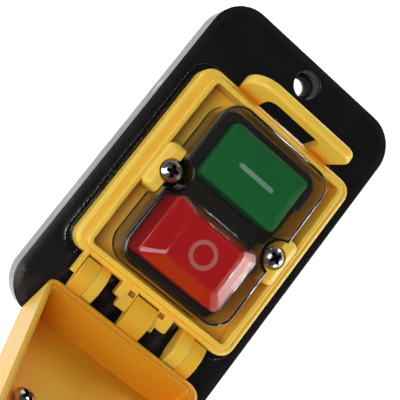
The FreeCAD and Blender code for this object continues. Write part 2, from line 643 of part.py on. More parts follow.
# Return springs between the deck and each key.
for key, y in STEM_Y.items():
    low = DECK_Z[1] + SPRING_END
    high = KEY_LOW + SPRING_POCKET_H - SPRING_END
    path = Part.makeHelix((high - low) / SPRING_TURNS, high - low, SPRING_R)
    half = SPRING_WIRE / 2
    square = ((-half, -half), (half, -half), (half, half), (-half, half), (-half, -half))
    section = Part.makePolygon([V(SPRING_R + x, 0, z) for x, z in square])
    coil = Part.Wire(path).makePipeShell([section], True, True)
    coil.translate(V(0, y, low))
    export("%s_spring" % key, [coil])

# Green slider: carrier on the stem, armature below it, a bridge at each side.
carrier = prism(CARRIER_X, CARRIER_Y, KEY_CORNER, *CARRIER_Z)
carrier = carrier.cut(upright(0, STEM_Y["green"], PEG_R, *CARRIER_Z))
export("contact_carrier", [carrier])
armature_z = (CARRIER_Z[0] - ARMATURE_T, CARRIER_Z[0])
export("armature", [prism(ARMATURE_X, ARMATURE_Y, KEY_CORNER, *armature_z)])
bridge_z = (CARRIER_Z[0] - STRIP_T, CARRIER_Z[0])
bridges = []
for span in both_sides(BRIDGE_X):
    bridge = block(span, BRIDGE_Y, bridge_z)
    for y in RIVET_Y:
        bridge = bridge.fuse(upright(sum(span) / 2, y, RIVET_R, bridge_z[0] - RIVET_H, bridge_z[0]))
    bridges.append(bridge)
export("run_bridges", bridges)

# Fixed run contacts on the bent tops of four blades; the fifth blade belongs to the stop circuit.
fixed_top = bridge_z[0] - RIVET_H - CONTACT_GAP
tab_z = (fixed_top - RIVET_H - STRIP_T, fixed_top - RIVET_H)
rivets = []
blades = []
for span, blade in zip(both_sides(BRIDGE_X), both_sides(BLADE_X)):
    for y in RIVET_Y:
        rivets.append(upright(sum(span) / 2, y, RIVET_R, tab_z[1], fixed_top))
        tab_x = (min(span[0], blade[0]), max(span[1], blade[1]))
        tab = block(tab_x, (y - STOP_BRIDGE_W / 2, y + STOP_BRIDGE_W / 2), tab_z)
        strip = block(blade, (y - BLADE_W / 2, y + BLADE_W / 2), (BLADE_LOW, tab_z[1]))
        blades.append(tab.fuse(strip).removeSplitter())
stop_y = (STEM_Y["red"] - STOP_BRIDGE_W / 2, STEM_Y["red"] + STOP_BRIDGE_W / 2)
bridge_top = SLIDER_LOW + RIVET_H
stop_rivet_z = (bridge_top + STOP_REST_GAP, bridge_top + STOP_REST_GAP + RIVET_H)
stop_strip_z = (stop_rivet_z[1], stop_rivet_z[1] + STRIP_T)
stop_contacts = []
for strip_x, drop_x in zip(both_sides(STOP_STRIP_X), both_sides(STOP_BLADE_X)):
    strip = block(strip_x, stop_y, stop_strip_z)
    rivet_x = math.copysign(STOP_RIVET_X, strip_x[0])
    strip = strip.fuse(upright(rivet_x, STEM_Y["red"], RIVET_R, *stop_rivet_z))
    if strip_x[0] > 0:
        strip = strip.fuse(block(drop_x, stop_y, (COIL_LEAD_Z, stop_strip_z[1])))
        stop_contacts.append(strip.removeSplitter())
    else:
        strip = strip.fuse(block(drop_x, stop_blade_y, (BLADE_LOW, stop_strip_z[1])))
        blades.append(strip.removeSplitter())
export("run_contacts", rivets)
export("blade_terminals", blades)
export("stop_contacts", stop_contacts)

# Red slider with the break bridge under it.
slider = upright(0, STEM_Y["red"], SLIDER_R, SLIDER_LOW, CARRIER_Z[1])
export("stop_slider", [slider.cut(upright(0, STEM_Y["red"], PEG_R, SLIDER_LOW, CARRIER_Z[1]))])
stop_bridge = block((-STOP_BRIDGE_X, STOP_BRIDGE_X), stop_y, (SLIDER_LOW - STRIP_T, SLIDER_LOW))
for side in (-1, 1):
    rivet = upright(side * STOP_RIVET_X, STEM_Y["red"], RIVET_R, SLIDER_LOW, bridge_top)
    stop_bridge = stop_bridge.fuse(rivet)
export("stop_bridge", [stop_bridge.removeSplitter()])

# Holding magnet under the green slider: laminated yoke, bobbin and winding on the middle pole.
pole_top = armature_z[0] - CONTACT_GAP
yoke_low = BODY_LOW
yoke = block((-ARMATURE_X, ARMATURE_X), ARMATURE_Y, (yoke_low, yoke_low + YOKE_BASE_T))
pole_spans = ((-POLE_X, POLE_X),) + both_sides(SIDE_POLE_X)
for span in pole_spans:
    yoke = yoke.fuse(block(span, ARMATURE_Y, (yoke_low, pole_top)))
export("magnet_yoke", [yoke.removeSplitter()])
mid_y = sum(ARMATURE_Y) / 2
half_y = (ARMATURE_Y[1] - ARMATURE_Y[0]) / 2
tube_x = POLE_X + BOBBIN_CLEAR
tube_y = half_y + BOBBIN_CLEAR
bore = block((-tube_x, tube_x), (mid_y - tube_y, mid_y + tube_y), BOBBIN_Z)
wall_x = tube_x + BOBBIN_T
wall_y = tube_y + BOBBIN_T
tube = block((-wall_x, wall_x), (mid_y - wall_y, mid_y + wall_y), BOBBIN_Z)
bobbin = tube
cheek_y = (mid_y - BOBBIN_HALF_Y, mid_y + BOBBIN_HALF_Y)
for low, high in ((BOBBIN_Z[0], BOBBIN_Z[0] + BOBBIN_T), (BOBBIN_Z[1] - BOBBIN_T, BOBBIN_Z[1])):
    bobbin = bobbin.fuse(block((-BOBBIN_X, BOBBIN_X), cheek_y, (low, high)))
export("coil_bobbin", [bobbin.cut(bore).removeSplitter()])
wound_z = (BOBBIN_Z[0] + BOBBIN_T, BOBBIN_Z[1] - BOBBIN_T)
wound_y = (cheek_y[0] + WINDING_INSET, cheek_y[1] - WINDING_INSET)
winding = prism(BOBBIN_X - WINDING_INSET, wound_y, KEY_CORNER, *wound_z)
export("coil_winding", [winding.cut(tube)])
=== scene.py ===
import json
import math
import bmesh
import bpy
from mathutils import Matrix, Vector


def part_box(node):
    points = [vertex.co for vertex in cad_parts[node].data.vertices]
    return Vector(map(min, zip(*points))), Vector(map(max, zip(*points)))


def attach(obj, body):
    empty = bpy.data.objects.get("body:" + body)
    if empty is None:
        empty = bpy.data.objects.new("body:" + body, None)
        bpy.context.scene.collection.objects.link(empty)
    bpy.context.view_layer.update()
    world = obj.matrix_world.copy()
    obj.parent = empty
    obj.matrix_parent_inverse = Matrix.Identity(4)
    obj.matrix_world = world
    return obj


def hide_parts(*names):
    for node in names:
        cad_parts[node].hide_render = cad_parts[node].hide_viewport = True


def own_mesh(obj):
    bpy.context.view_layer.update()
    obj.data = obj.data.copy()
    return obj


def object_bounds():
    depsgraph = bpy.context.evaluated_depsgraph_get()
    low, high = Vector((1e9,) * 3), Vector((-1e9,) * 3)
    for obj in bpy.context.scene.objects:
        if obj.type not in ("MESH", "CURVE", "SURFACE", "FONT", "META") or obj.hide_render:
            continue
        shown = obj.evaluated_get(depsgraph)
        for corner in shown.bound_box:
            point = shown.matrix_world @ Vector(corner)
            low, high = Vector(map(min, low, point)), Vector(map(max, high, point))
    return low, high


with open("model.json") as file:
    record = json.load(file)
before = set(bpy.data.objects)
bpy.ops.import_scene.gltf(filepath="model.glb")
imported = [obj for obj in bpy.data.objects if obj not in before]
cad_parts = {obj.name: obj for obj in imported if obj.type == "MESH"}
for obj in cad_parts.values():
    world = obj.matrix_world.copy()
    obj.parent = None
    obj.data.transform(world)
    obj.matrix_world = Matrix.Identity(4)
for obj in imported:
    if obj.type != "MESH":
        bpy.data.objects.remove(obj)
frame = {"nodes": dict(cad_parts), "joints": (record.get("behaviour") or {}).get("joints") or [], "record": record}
cad_box = [list(corner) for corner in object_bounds()]

# Black box. A flat thermoplastic moulding with rounded corners that the whole switch hangs in.
# Its face is spark-eroded satin with a sloped border, and two sinks take the panel screws.
# The left wall has a small drain hole in a round spot face, coloured near white round the hole.

NUMBER = "NodeSocketFloat"
TINT = "NodeSocketColor"


def linear(red, green, blue):
    """A screen colour as the shader's own numbers."""
    steps = []
    for level in (red, green, blue):
        share = level / 255.0
        steps.append(share / 12.92 if share <= 0.04045 else ((share + 0.055) / 1.055) ** 2.4)
    return (*steps, 1.0)


def place(tree, kind, wires=None, **settings):
    """Adds one node, sets its options and joins or sets its inputs."""
    made = tree.nodes.new(kind)
    for option, value in settings.items():
        setattr(made, option, value)
    for name, value in (wires or {}).items():
        if isinstance(value, bpy.types.NodeSocket):
            tree.links.new(value, made.inputs[name])
        else:
            made.inputs[name].default_value = value
    return made


def result(tree, kind, wires=None, **settings):
    """The first output of one added node."""
    return place(tree, kind, wires, **settings).outputs[0]


def maths(tree, operation, *values, clamp=False):
    """One sum on numbers or sockets."""
    return result(tree, "ShaderNodeMath", dict(enumerate(values)), operation=operation, use_clamp=clamp)


def measure(tree, operation, *vectors):
    """A length, a distance or a likeness of vectors."""
    made = place(tree, "ShaderNodeVectorMath", dict(enumerate(vectors)), operation=operation)
    return made.outputs["Value"]


def ramp(tree, value, start, end, low, high):
    """Carries a value from one span to another and holds it at the ends."""
    return result(tree, "ShaderNodeMapRange", {0: value, 1: start, 2: end, 3: low, 4: high})


def own_spot(tree):
    """The point on the piece itself, so that a pattern stays with it."""
    return place(tree, "ShaderNodeTexCoord").outputs["Object"]


def clouds(tree, scale, detail):
    """Soft noise all through the piece."""
    wires = {"Vector": own_spot(tree), "Scale": scale, "Detail": detail}
    return result(tree, "ShaderNodeTexNoise", wires)


def mixed(tree, share, under, over):
    """One colour laid over another, where the share says."""
    return place(tree, "ShaderNodeMix", {0: share, 6: under, 7: over}, data_type="RGBA").outputs[2]


def shared_effect(name, inputs, outputs):
    """An empty shader group with its named sockets."""
    tree = bpy.data.node_groups.new(name, "ShaderNodeTree")
    for label, kind in inputs:
        tree.interface.new_socket(label, in_out="INPUT", socket_type=kind)
    for label, kind in outputs:
        tree.interface.new_socket(label, in_out="OUTPUT", socket_type=kind)
    return tree, tree.nodes.new("NodeGroupInput").outputs, tree.nodes.new("NodeGroupOutput").inputs


FLOW_SCALE = 95.0
NOISE_MIDDLE = 0.5
skin, given, out = shared_effect(
    "moulded_skin",
    [("Colour", TINT), ("Mottle", NUMBER), ("Grain", NUMBER), ("Roughness", NUMBER), ("Spread", NUMBER)],
    [("Colour", TINT), ("Roughness", NUMBER), ("Height", NUMBER)],
)
flow = clouds(skin, FLOW_SCALE, detail=3.0)
pits = clouds(skin, given["Grain"], detail=2.0)
swing = maths(skin, "SUBTRACT", flow, NOISE_MIDDLE)
lift = maths(skin, "MULTIPLY_ADD", swing, given["Mottle"], 1.0)
tinted = result(skin, "ShaderNodeHueSaturation", {"Value": lift, "Color": given["Colour"]})
uneven = maths(skin, "SUBTRACT", maths(skin, "ADD", pits, swing), NOISE_MIDDLE)
satin = maths(skin, "MULTIPLY_ADD", uneven, given["Spread"], given["Roughness"], clamp=True)
skin.links.new(tinted, out["Colour"])
skin.links.new(satin, out["Roughness"])
skin.links.new(pits, out["Height"])

# Edge marks: edges are painted lighter, partly as rubbed wear and partly as a painted highlight along them.
EDGE_MARK_START = 0.995
EDGE_MARK_FULL = 0.86
EDGE_MARK_PATCHES = 420.0
rub_and_highlight, given, out = shared_effect(
    "edge_rub_and_highlight",
    [("Colour", TINT), ("Rubbed And Highlight", TINT), ("Width", NUMBER), ("Amount", NUMBER)],
    [("Colour", TINT), ("Normal", "NodeSocketVector")],
)
rounded = result(rub_and_highlight, "ShaderNodeBevel", {"Radius": given["Width"]}, samples=6)
facing = place(rub_and_highlight, "ShaderNodeNewGeometry").outputs["Normal"]
edge = ramp(rub_and_highlight, measure(rub_and_highlight, "DOT_PRODUCT", rounded, facing), EDGE_MARK_START, EDGE_MARK_FULL, low=0.0, high=1.0)
broken = ramp(rub_and_highlight, clouds(rub_and_highlight, EDGE_MARK_PATCHES, detail=3.0), start=0.35, end=0.65, low=0.35, high=1.0)
mask = maths(rub_and_highlight, "MULTIPLY", maths(rub_and_highlight, "MULTIPLY", edge, broken), given["Amount"])
rub_and_highlight.links.new(mixed(rub_and_highlight, mask, given["Colour"], given["Rubbed And Highlight"]), out["Colour"])
rub_and_highlight.links.new(rounded, out["Normal"])


def shader(material):
    """A material's own surface shader."""
    return material.node_tree.nodes["Principled BSDF"]


def moulded_plastic(name, colour, rubbed_and_highlight, mottle, grain, roughness, spread, relief, edge_width, edge_mark_amount):
    """Plastic with flow mottling, tool grain and lighter edges, partly rubbed wear and partly painted highlight.
    """
    material = bpy.data.materials.new(name)
    material.use_nodes = True
    tree = material.node_tree
    surface = shader(material)
    coat = place(tree, "ShaderNodeGroup", {
        "Colour": colour, "Mottle": mottle, "Grain": grain, "Roughness": roughness, "Spread": spread,
    }, node_tree=skin)
    edges = place(tree, "ShaderNodeGroup", {
        "Colour": coat.outputs["Colour"], "Rubbed And Highlight": rubbed_and_highlight, "Width": edge_width, "Amount": edge_mark_amount,
    }, node_tree=rub_and_highlight)
    tree.links.new(edges.outputs["Colour"], surface.inputs["Base Color"])
    tree.links.new(coat.outputs["Roughness"], surface.inputs["Roughness"])
    bump = result(tree, "ShaderNodeBump", {
        "Strength": 0.5, "Distance": relief, "Height": coat.outputs["Height"],
        "Normal": edges.outputs["Normal"]})
    tree.links.new(bump, surface.inputs["Normal"])
    return material


def painted(material, share, colour):
    """Lays another colour over a finish, where the share says."""
    base = shader(material).inputs["Base Color"]
    laid = mixed(material.node_tree, share, base.links[0].from_socket, colour)
    material.node_tree.links.new(laid, base)


MERGE_GAP = 2e-6


def creased(mesh, angle):
    """Smooth faces with true edges kept where the surface turns sharply."""
    shape = bmesh.new()
    shape.from_mesh(mesh)
    bmesh.ops.remove_doubles(shape, verts=shape.verts, dist=MERGE_GAP)
    for face in shape.faces:
        face.smooth = True
    for line in shape.edges:
        line.smooth = len(line.link_faces) == 2 and line.calc_face_angle() < math.radians(angle)
    shape.to_mesh(mesh)
    shape.free()
    return mesh


def settled(piece):
    """Turns a piece with modifiers into a plain mesh."""
    graph = bpy.context.evaluated_depsgraph_get()
    finished = bpy.data.meshes.new_from_object(piece.evaluated_get(graph))
    piece.modifiers.clear()
    piece.data = finished
    return piece


MOULD_CREASE = 32.0


def moulded_copy(node):
    """A merged copy of one solid, smooth across its fillets and true at its edges."""
    mesh = creased(frame["nodes"][node].data.copy(), MOULD_CREASE)
    mesh.materials.clear()
    piece = bpy.data.objects.new(node + "_moulding", mesh)
    bpy.context.scene.collection.objects.link(piece)
    flats = piece.modifiers.new("flats", "WEIGHTED_NORMAL")
    flats.keep_sharp = True
    flats.weight = 80
    return settled(piece)


def fitted(piece, body, slot, material, *nodes):
    """Gives a piece its finish and hangs it on its body."""
    piece.data.materials.clear()
    piece.data.materials.append(material)
    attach(piece, body)
    if nodes:
        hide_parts(*nodes)
    return piece


black_satin = moulded_plastic(
    "black_box_satin", linear(14, 14, 15), rubbed_and_highlight=linear(30, 30, 32), mottle=0.5, grain=2600.0,
    roughness=0.28, spread=0.16, relief=0.00002, edge_width=0.0004, edge_mark_amount=0.5)
surface = shader(black_satin)
surface.inputs["Specular IOR Level"].default_value = 0.35
tree = black_satin.node_tree
where = own_spot(tree)
level = place(tree, "ShaderNodeSeparateXYZ", {0: where}).outputs["Z"]
box_low, box_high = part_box("base_box")

SPOT_DEPTH = 0.0005
SPOT_Y = 0.0164
SPOT_Z = 0.0046
from_spot = measure(tree, "DISTANCE", where, (box_low.x + SPOT_DEPTH, SPOT_Y, SPOT_Z))
SPOT_RADII = (0.00262, 0.0028)
SPOT_HOLE_RADII = (0.0013, 0.0015)
spot_disc = ramp(tree, from_spot, *SPOT_RADII, 1.0, 0.0)
outside_hole = ramp(tree, from_spot, *SPOT_HOLE_RADII, 0.0, 1.0)
painted(black_satin, maths(tree, "MULTIPLY", spot_disc, outside_hole), linear(236, 233, 238))

MILLIMETRE = 0.001
panel_screws = frame["record"]["mounts"][0]["dims"]
HOLE_Y = panel_screws["spacing_y_mm"] * MILLIMETRE / 2
SINK_RADIUS = 0.0037
SINK_REACH = SINK_RADIUS + 0.0001
BORE_DULLING = 0.6
across = result(tree, "ShaderNodeVectorMath", {0: where, 1: (1.0, 1.0, 0.0)}, operation="MULTIPLY")
mirrored = result(tree, "ShaderNodeVectorMath", {0: across}, operation="ABSOLUTE")
from_axis = measure(tree, "DISTANCE", mirrored, (0.0, HOLE_Y, 0.0))
in_bore = maths(tree, "LESS_THAN", from_axis, SINK_REACH)
satin = surface.inputs["Roughness"].links[0].from_socket
dulled = maths(tree, "MULTIPLY_ADD", in_bore, BORE_DULLING, satin, clamp=True)
tree.links.new(dulled, surface.inputs["Roughness"])

# Painted light: low in each sink the bore is painted pale grey, for the light that comes up through the hole onto
# its lower lip.
LIP_LEVELS = (0.0006, 0.0018)
low_down = ramp(tree, level, *LIP_LEVELS, 1.0, 0.0)
painted(black_satin, maths(tree, "MULTIPLY", low_down, in_bore), linear(168, 162, 172))

# Painted sheen: the sloped border round the face is painted a little lighter than the face, for the light it
# catches at its tilt.
FACE = box_high.z
BORDER_FALL = 0.00041
BORDER_BLEND = 0.0001
sloped = ramp(tree, level, FACE, FACE - BORDER_BLEND, 0.0, 1.0)
on_top = maths(tree, "GREATER_THAN", level, FACE - BORDER_FALL)
painted(black_satin, maths(tree, "MULTIPLY", sloped, on_top), linear(22, 21, 21))
fitted(moulded_copy("base_box"), "switch", "black_box", black_satin, "base_box")

# Crush ribs. Fine upright ribs round the walls of the two screw sinks, which grip what is pressed in.
# They are moulded with the box, in its own black plastic, but here they are painted pale grey as painted light for
# the lamp light they catch, with lighter edges that are partly rubbed wear and partly painted highlight.


def node_tree(name, sizes):
    """An empty geometry tree with its named sizes."""
    tree = bpy.data.node_groups.new(name, "GeometryNodeTree")
    tree.interface.new_socket("Geometry", in_out="INPUT", socket_type="NodeSocketGeometry")
    for label, kind in sizes:
        tree.interface.new_socket(label, in_out="INPUT", socket_type=kind)
    tree.interface.new_socket("Material", in_out="INPUT", socket_type="NodeSocketMaterial")
    tree.interface.new_socket("Geometry", in_out="OUTPUT", socket_type="NodeSocketGeometry")
    return tree, tree.nodes.new("NodeGroupInput").outputs, tree.nodes.new("NodeGroupOutput").inputs


def finish_tree(tree, given, out, shape):
    """Ends a geometry tree: real faces, then the finish."""
    real = result(tree, "GeometryNodeRealizeInstances", {"Geometry": shape})
    coated = result(tree, "GeometryNodeSetMaterial", {"Geometry": real, "Material": given["Material"]})
    tree.links.new(coated, out["Geometry"])


def grown(name, points, tree, values, angle):
    """Runs a geometry tree on a few seat points and keeps the result as a plain mesh."""
    seats = bpy.data.meshes.new(name)
    seats.from_pydata(points, [], [])
    piece = bpy.data.objects.new(name, seats)
    bpy.context.scene.collection.objects.link(piece)
    growth = piece.modifiers.new("growth", "NODES")
    growth.node_group = tree
    for item in tree.interface.items_tree:
        if item.in_out == "INPUT" and item.name in values:
            growth[item.identifier] = values[item.name]
    settled(piece)
    creased(piece.data, angle)
    return piece


SINK_DEPTH = 0.0045
RIB_SHORT = 0.0006
RIB_TIP = 0.00006
ribs, given, out = node_tree(
    "crush_ribs", [("Count", "NodeSocketInt"), ("Radius", NUMBER), ("Rib", NUMBER), ("Height", NUMBER)])
round_wall = result(ribs, "GeometryNodeMeshCircle", {"Vertices": given["Count"], "Radius": given["Radius"]})
rib = result(ribs, "GeometryNodeMeshCone", {
    "Vertices": 8, "Radius Top": RIB_TIP, "Radius Bottom": given["Rib"], "Depth": given["Height"]})
row = result(ribs, "GeometryNodeInstanceOnPoints", {"Points": round_wall, "Instance": rib})
sinks = result(ribs, "GeometryNodeInstanceOnPoints", {"Points": given["Geometry"], "Instance": row})
finish_tree(ribs, given, out, sinks)
# Painted light: the ribs are grey, far paler than the black box they are moulded in, for the light on their faces.
painted_lit_ribs = moulded_plastic(
    "ribs_painted_lit_grey", linear(150, 150, 158), rubbed_and_highlight=linear(200, 200, 206), mottle=0.6, grain=2600.0,
    roughness=0.42, spread=0.16, relief=0.00002, edge_width=0.0002, edge_mark_amount=0.6)
sink_ribs = grown("sink_ribs", [(0.0, y, FACE - SINK_DEPTH) for y in (-HOLE_Y, HOLE_Y)], ribs,
                  {"Count": 44, "Radius": SINK_RADIUS, "Rib": 0.00014, "Height": SINK_DEPTH - RIB_SHORT,
                   "Material": painted_lit_ribs}, angle=40.0)
fitted(sink_ribs, "switch", "black_box", painted_lit_ribs)

# Switch body and rear cover. Two glass-filled black mouldings behind the box, screwed together from behind.
# The filler leaves them duller than the box, with a slightly cloudy skin.
black_filled = moulded_plastic(
    "black_filled", linear(24, 24, 25), rubbed_and_highlight=linear(58, 58, 60), mottle=0.8, grain=1700.0,
    roughness=0.55, spread=0.2, relief=0.00004, edge_width=0.0004, edge_mark_amount=0.6)
fitted(moulded_copy("switch_body"), "switch", "black_body", black_filled, "switch_body")
fitted(moulded_copy("rear_cover"), "switch", "black_body", black_filled, "rear_cover")

# Screws. Nickel-plated steel with pan heads and a cross recess: two hold the bezel, two the stop pad
# and four the rear cover. The head is struck in one blow, so it is domed, and the thread is rolled.
METAL_HAZE = 0.22
plate, given, out = shared_effect(
    "drawn_metal",
    [("Colour", TINT), ("Roughness", NUMBER), ("Scale", NUMBER)],
    [("Colour", TINT), ("Roughness", NUMBER), ("Height", NUMBER)],
)
cloud = clouds(plate, given["Scale"], detail=4.0)
shade = ramp(plate, cloud, start=0.3, end=0.7, low=0.86, high=1.06)
tone = result(plate, "ShaderNodeHueSaturation", {"Value": shade, "Color": given["Colour"]})
haze = maths(plate, "MULTIPLY_ADD", cloud, METAL_HAZE, given["Roughness"], clamp=True)
plate.links.new(tone, out["Colour"])
plate.links.new(haze, out["Roughness"])
plate.links.new(cloud, out["Height"])


def plated_metal(name, colour, roughness, scale, relief):
    """Metal with a slightly cloudy, uneven shine."""
    material = bpy.data.materials.new(name)
    material.use_nodes = True
    tree = material.node_tree
    surface = shader(material)
    surface.inputs["Metallic"].default_value = 1.0
    coat = place(tree, "ShaderNodeGroup", {
        "Colour": (*colour, 1.0), "Roughness": roughness, "Scale": scale,
    }, node_tree=plate)
    tree.links.new(coat.outputs["Colour"], surface.inputs["Base Color"])
    tree.links.new(coat.outputs["Roughness"], surface.inputs["Roughness"])
    wires = {"Strength": 0.4, "Distance": relief, "Height": coat.outputs["Height"]}
    tree.links.new(result(tree, "ShaderNodeBump", wires), surface.inputs["Normal"])
    return material


def point(tree, x=0.0, y=0.0, z=0.0):
    """Three numbers or sockets as one vector."""
    return result(tree, "ShaderNodeCombineXYZ", {0: x, 1: y, 2: z})


CROWN_POWER = 2.6
PUNCH_TIP = 0.42
PUNCH_MOUTH = 1.35
THREAD_RIDGE = 0.00022
TURN_STEP = 0.7
SCREW_SIZES = ("Head Radius", "Head Height", "Crown", "Core", "Length", "Pitch", "Slot Span", "Slot Width",
               "Slot Depth", "Turn")
screw, given, out = node_tree("cross_recess_screw", [(label, NUMBER) for label in SCREW_SIZES])
blank = result(screw, "GeometryNodeMeshCylinder", {
    "Vertices": 48, "Side Segments": 5, "Fill Segments": 9, "Radius": given["Head Radius"],
    "Depth": given["Head Height"]})
position = result(screw, "GeometryNodeInputPosition")
x, y, z = place(screw, "ShaderNodeSeparateXYZ", {0: position}).outputs

# The head's blank is lowered towards its edge, which leaves a dome on a flat underside.
share = maths(screw, "DIVIDE", measure(screw, "LENGTH", point(screw, x, y)), given["Head Radius"])
drop = maths(screw, "MULTIPLY", maths(screw, "POWER", share, CROWN_POWER), given["Crown"])
stay = maths(screw, "SUBTRACT", 1.0, drop)
above_seat = maths(screw, "ADD", z, maths(screw, "MULTIPLY", given["Head Height"], 0.5))
domed = point(screw, x, y, maths(screw, "MULTIPLY", above_seat, stay))
head = result(screw, "GeometryNodeSetPosition", {"Geometry": blank, "Position": domed})

# A tapered punch, struck twice at a right angle, leaves the cross.
punch_height = maths(screw, "MULTIPLY", given["Slot Depth"], 2.0)
punch_size = point(screw, given["Slot Span"], given["Slot Width"], punch_height)
bar = result(screw, "GeometryNodeMeshCube", {"Size": punch_size})
marked = result(screw, "GeometryNodeStoreNamedAttribute", {"Geometry": bar, "Name": "recess", "Value": 1.0},
                data_type="FLOAT", domain="FACE")
narrowing = ramp(screw, maths(screw, "DIVIDE", z, given["Slot Depth"]), -1.0, 1.0, PUNCH_TIP, PUNCH_MOUTH)
tapered = point(screw, maths(screw, "MULTIPLY", x, narrowing), maths(screw, "MULTIPLY", y, narrowing),
                maths(screw, "ADD", z, given["Head Height"]))
punch = result(screw, "GeometryNodeSetPosition", {"Geometry": marked, "Position": tapered})
quarter_turn = (0.0, 0.0, math.pi / 2)
crossed = result(screw, "GeometryNodeTransform", {"Geometry": punch, "Rotation": quarter_turn})
struck = place(screw, "GeometryNodeMeshBoolean", {"Mesh 1": head, "Mesh 2": punch}, operation="DIFFERENCE",
               solver="EXACT")
screw.links.new(crossed, struck.inputs["Mesh 2"])

# The thread winds down a plain core.
core = result(screw, "GeometryNodeMeshCylinder", {
    "Vertices": 20, "Radius": given["Core"], "Depth": given["Length"]})
half_down = point(screw, z=maths(screw, "MULTIPLY", given["Length"], -0.5))
shank = result(screw, "GeometryNodeTransform", {"Geometry": core, "Translation": half_down})
turns = maths(screw, "DIVIDE", given["Length"], given["Pitch"])
winding = result(screw, "GeometryNodeCurveSpiral", {
    "Resolution": 16, "Rotations": turns, "Height": given["Length"], "Start Radius": given["Core"],
    "End Radius": given["Core"]})
ridge = result(screw, "GeometryNodeCurvePrimitiveCircle", {"Resolution": 3, "Radius": THREAD_RIDGE})
thread = result(screw, "GeometryNodeCurveToMesh", {
    "Curve": winding, "Profile Curve": ridge, "Fill Caps": True})
all_down = point(screw, z=maths(screw, "MULTIPLY", given["Length"], -1.0))
rolled = result(screw, "GeometryNodeTransform", {"Geometry": thread, "Translation": all_down})
whole = place(screw, "GeometryNodeJoinGeometry", {"Geometry": struck.outputs["Mesh"]})
screw.links.new(shank, whole.inputs[0])
screw.links.new(rolled, whole.inputs[0])
order = result(screw, "GeometryNodeInputIndex")
stance = point(screw, z=maths(screw, "MULTIPLY_ADD", order, TURN_STEP, given["Turn"]))
set_in = result(screw, "GeometryNodeInstanceOnPoints", {
    "Points": given["Geometry"], "Instance": whole.outputs[0], "Rotation": stance})
finish_tree(screw, given, out, set_in)

nickel = plated_metal("nickel_plate", (0.50, 0.47, 0.46), roughness=0.08, scale=700.0, relief=0.00001)
# Painted shade: the cross recess is painted near black, for the shade inside it.
in_recess = place(nickel.node_tree, "ShaderNodeAttribute", attribute_name="recess").outputs["Fac"]
painted(nickel, in_recess, (0.07, 0.06, 0.07, 1.0))
HEAD = {"Head Radius": 0.00275, "Head Height": 0.0022, "Crown": 0.52, "Core": 0.00112, "Pitch": 0.0012,
        "Slot Span": 0.0040, "Slot Width": 0.00115, "Slot Depth": 0.0014, "Material": nickel}
SCREW_CREASE = 30.0
UPSIDE_DOWN = Matrix.Rotation(math.pi, 4, "Y")

BEZEL_SCREW_X = 0.017
BEZEL_SCREW_Y = -0.0006
bezel_low, bezel_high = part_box("bezel_screws")
bezel_seat = bezel_high.z - HEAD["Head Height"]
bezel_points = [(side * BEZEL_SCREW_X, BEZEL_SCREW_Y, bezel_seat) for side in (-1, 1)]
bezel_screws = grown("bezel_screw_pair", bezel_points, screw,
                     {**HEAD, "Length": bezel_seat - bezel_low.z, "Turn": 0.35}, SCREW_CREASE)
fitted(bezel_screws, "switch", "nickel_screw", nickel, "bezel_screws")

REAR_SCREWS = ((-0.0098, 0.0209), (0.0098, 0.0209), (-0.0155, -0.0213), (0.0155, -0.0213))
rear_low, rear_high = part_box("rear_cover_screws")
rear_seat = rear_low.z + HEAD["Head Height"]
rear_points = [(-x, y, -rear_seat) for x, y in REAR_SCREWS]
rear_screws = grown("rear_screw_set", rear_points, screw,
                    {**HEAD, "Length": rear_high.z - rear_seat, "Turn": 0.8}, SCREW_CREASE)
rear_screws.data.transform(UPSIDE_DOWN)
fitted(rear_screws, "switch", "nickel_screw", nickel, "rear_cover_screws")

# Holding magnet, contacts and terminals. A stack of steel sheets with a copper coil on a nylon bobbin,
# silver rivets on brass strips, and push-on blades that come out through the rear cover.


def layered(material, direction, scale, distortion, detail, strength, depth):
    """Fine straight ridges, as of wires laid side by side or sheets in a stack."""
    tree = material.node_tree
    ridges = place(tree, "ShaderNodeTexWave",
                   {"Vector": own_spot(tree), "Scale": scale, "Distortion": distortion, "Detail": detail},
                   wave_type="BANDS", bands_direction=direction).outputs["Fac"]
    bump = result(tree, "ShaderNodeBump", {"Strength": strength, "Distance": depth, "Height": ridges})
    tree.links.new(bump, shader(material).inputs["Normal"])


steel_sheet = plated_metal("magnet_sheets", (0.42, 0.43, 0.45), roughness=0.30, scale=500.0, relief=0.00002)
layered(steel_sheet, "Y", scale=320.0, distortion=0.05, detail=2.0, strength=0.7, depth=0.00005)
copper = plated_metal("enamelled_copper", (0.70, 0.32, 0.14), roughness=0.22, scale=400.0, relief=0.00001)
layered(copper, "Z", scale=620.0, distortion=0.4, detail=1.0, strength=1.0, depth=0.00012)
brass = plated_metal("contact_brass", (0.78, 0.58, 0.27), roughness=0.20, scale=350.0, relief=0.00001)
silver = plated_metal("silver_rivet", (0.88, 0.87, 0.84), roughness=0.18, scale=900.0, relief=0.00001)
nylon = moulded_plastic(
    "white_nylon", linear(222, 217, 203), rubbed_and_highlight=linear(235, 232, 222), mottle=0.15, grain=900.0,
    roughness=0.42, spread=0.12, relief=0.00002, edge_width=0.0003, edge_mark_amount=0.3)
for name, body, slot, finish in (
    ("magnet_yoke", "switch", "magnet_steel", steel_sheet),
    ("armature", "green_press", "magnet_steel", steel_sheet),
    ("coil_bobbin", "switch", "white_nylon", nylon),
    ("coil_winding", "switch", "copper_winding", copper),
    ("contact_carrier", "green_press", "white_nylon", nylon),
    ("stop_slider", "red_press", "white_nylon", nylon),
    ("run_bridges", "green_press", "contact_brass", brass),
    ("stop_bridge", "red_press", "contact_brass", brass),
    ("run_contacts", "switch", "silver_contact", silver),
    ("stop_contacts", "switch", "contact_brass", brass),
    ("blade_terminals", "switch", "contact_brass", brass),
):
    fitted(moulded_copy(name), body, slot, finish, name)
